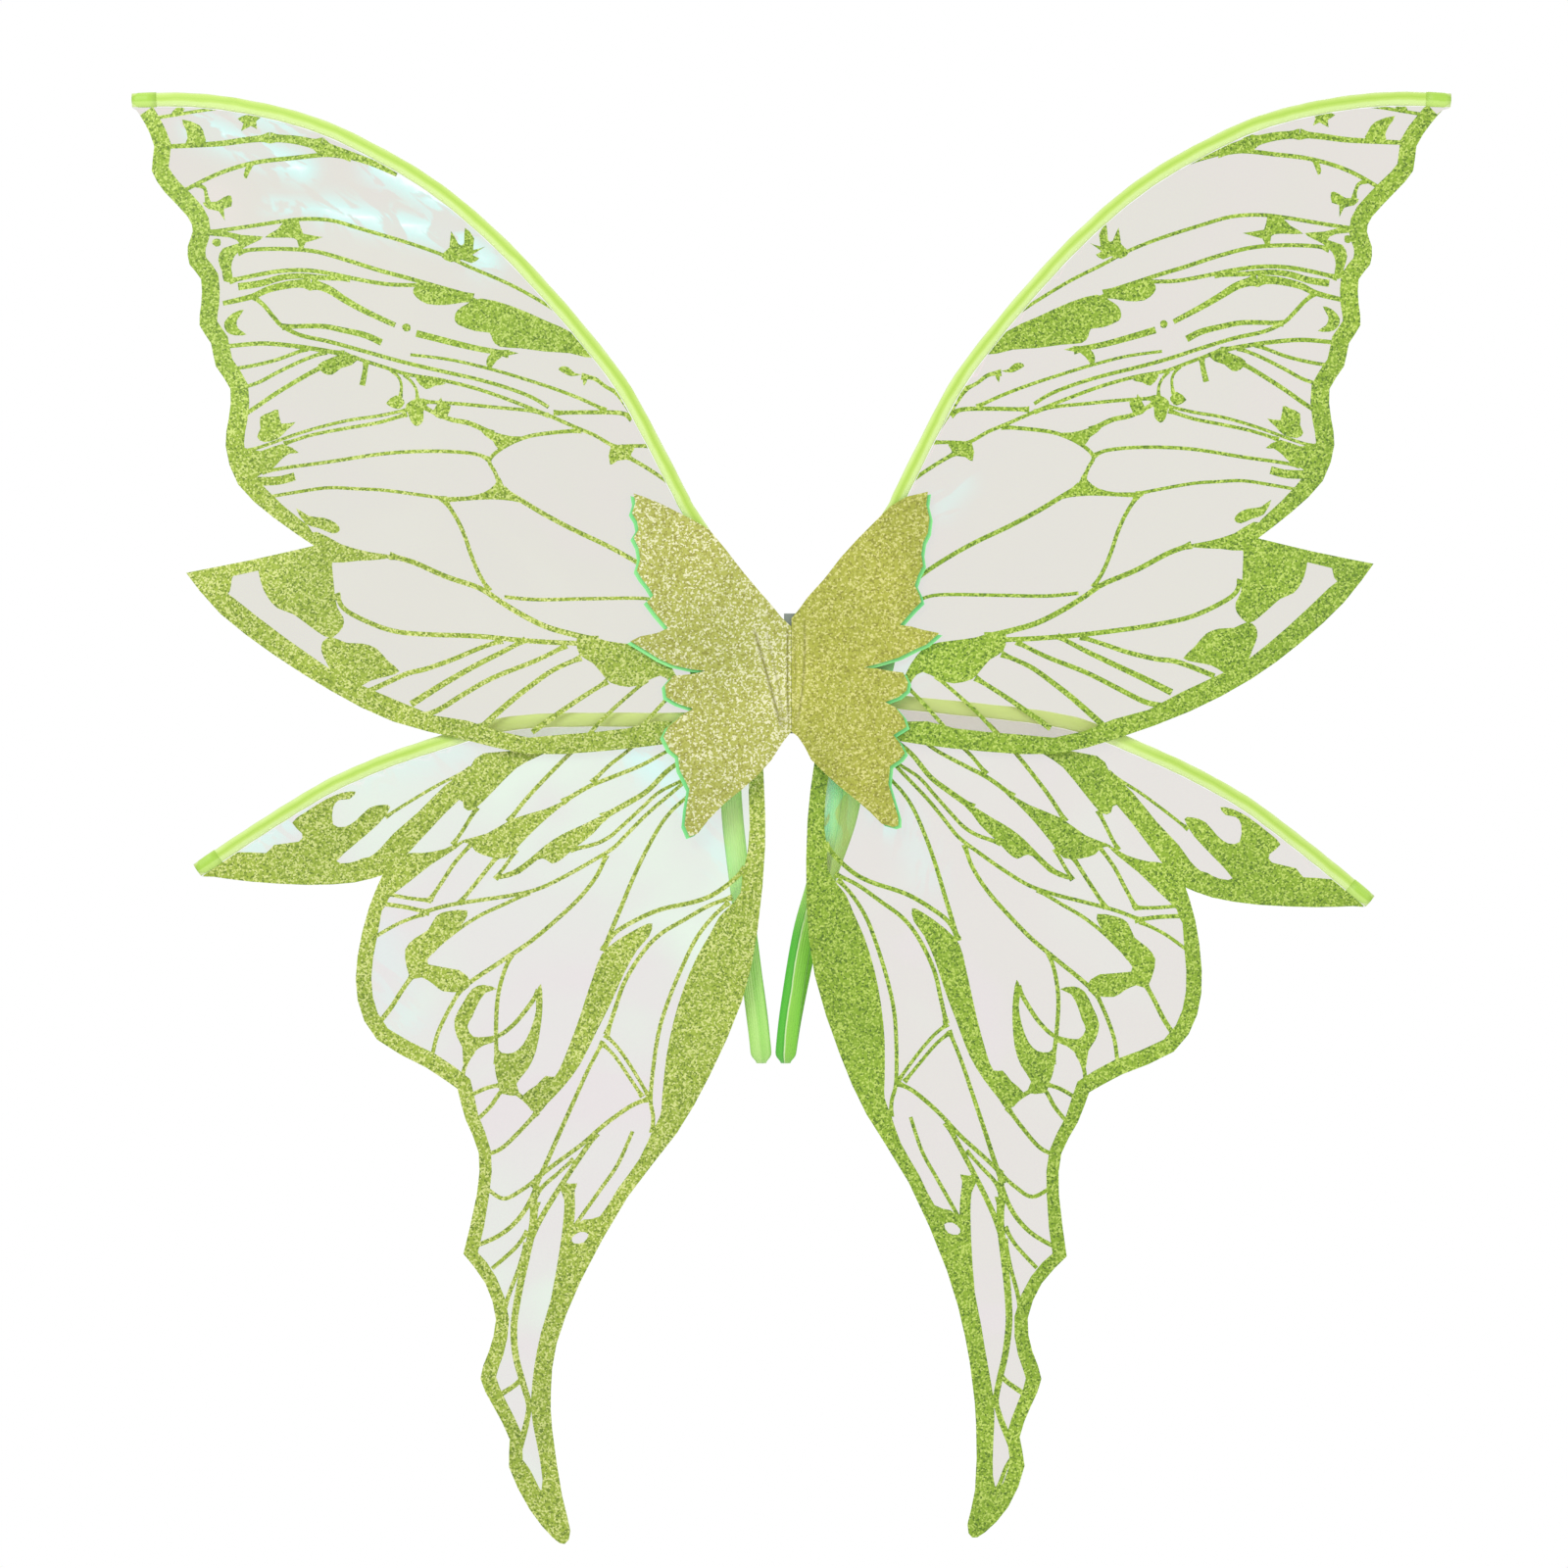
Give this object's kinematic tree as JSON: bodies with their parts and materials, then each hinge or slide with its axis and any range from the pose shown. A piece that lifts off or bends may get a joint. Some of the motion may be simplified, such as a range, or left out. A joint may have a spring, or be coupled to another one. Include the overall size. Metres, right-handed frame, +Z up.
{
  "type": "fairy wings",
  "caption": "Wearable butterfly-shaped fairy wings: printed clear film wings on wire, folding glitter centre cover and elastic shoulder loops.",
  "frame": {"origin": "middle of the back panel's rear face, between the two shoulder loops", "axes": "+Z up along the seam, +Y towards the wearer's back, +X to the wearer's right"},
  "size_m": [0.8043, 0.0448, 0.8862],
  "materials": {
    "film": "clear iridescent polyester film",
    "print": "green glitter print on film",
    "ribbon": "lime satin ribbon",
    "wire": "drawn steel wire",
    "eyelet_metal": "rolled eyelet",
    "glitter_foam": "olive gold glitter foam",
    "mint_foam": "mint craft foam",
    "core_board": "stiff plastic sheet",
    "webbing": "grey woven tape",
    "elastic": "light green satin elastic"
  },
  "bodies": {
    "spine": {"spine_tape": "webbing", "spine_web": "webbing", "back_panel": "mint_foam", "left_strap_patch": "elastic", "right_strap_patch": "elastic"},
    "left_half": {"left_front_cover": "glitter_foam", "left_cover_backing": "mint_foam", "left_core_plate": "core_board", "left_upper_eyelet": "eyelet_metal", "left_lower_eyelet": "eyelet_metal"},
    "right_half": {"right_front_cover": "glitter_foam", "right_cover_backing": "mint_foam", "right_core_plate": "core_board", "right_upper_eyelet": "eyelet_metal", "right_lower_eyelet": "eyelet_metal"},
    "left_upper_wing": {"left_upper_wire": "wire", "left_upper_casing": "ribbon", "left_upper_film": "film"},
    "right_upper_wing": {"right_upper_wire": "wire", "right_upper_casing": "ribbon", "right_upper_film": "film"},
    "left_lower_wing": {"left_lower_wire": "wire", "left_lower_casing": "ribbon", "left_lower_film": "film"},
    "right_lower_wing": {"right_lower_wire": "wire", "right_lower_casing": "ribbon", "right_lower_film": "film"},
    "left_loop": {"left_strap": "elastic"},
    "right_loop": {"right_strap": "elastic"}
  },
  "joints": [
    {"name": "left_fold", "type": "hinge", "parent": "spine", "child": "left_half", "pos_m": [0, -0.0153, 0], "axis": [0, 0, 1], "range_deg": [0, 85]},
    {"name": "right_fold", "type": "hinge", "parent": "spine", "child": "right_half", "pos_m": [0, -0.0153, 0], "axis": [0, 0, -1], "range_deg": [0, 85]},
    {"name": "left_upper_sweep", "type": "hinge", "parent": "left_half", "child": "left_upper_wing", "pos_m": [-0.016, -0.0094, 0.028], "axis": [0, 1, 0], "range_deg": [-5, 5]},
    {"name": "right_upper_sweep", "type": "hinge", "parent": "right_half", "child": "right_upper_wing", "pos_m": [0.016, -0.0094, 0.028], "axis": [0, -1, 0], "range_deg": [-5, 5]},
    {"name": "left_lower_sweep", "type": "hinge", "parent": "left_half", "child": "left_lower_wing", "pos_m": [-0.022, -0.0044, -0.022], "axis": [0, 1, 0], "range_deg": [-5, 5]},
    {"name": "right_lower_sweep", "type": "hinge", "parent": "right_half", "child": "right_lower_wing", "pos_m": [0.024, -0.0044, -0.007], "axis": [0, -1, 0], "range_deg": [-5, 5]},
    {"name": "left_loop_swing", "type": "hinge", "parent": "spine", "child": "left_loop", "pos_m": [-0.038, 0.0027, -0.045], "axis": [1, 0, 0], "range_deg": [0, 120]},
    {"name": "right_loop_swing", "type": "hinge", "parent": "spine", "child": "right_loop", "pos_m": [0.032, 0.0027, -0.045], "axis": [1, 0, 0], "range_deg": [0, 120]}
  ]
}
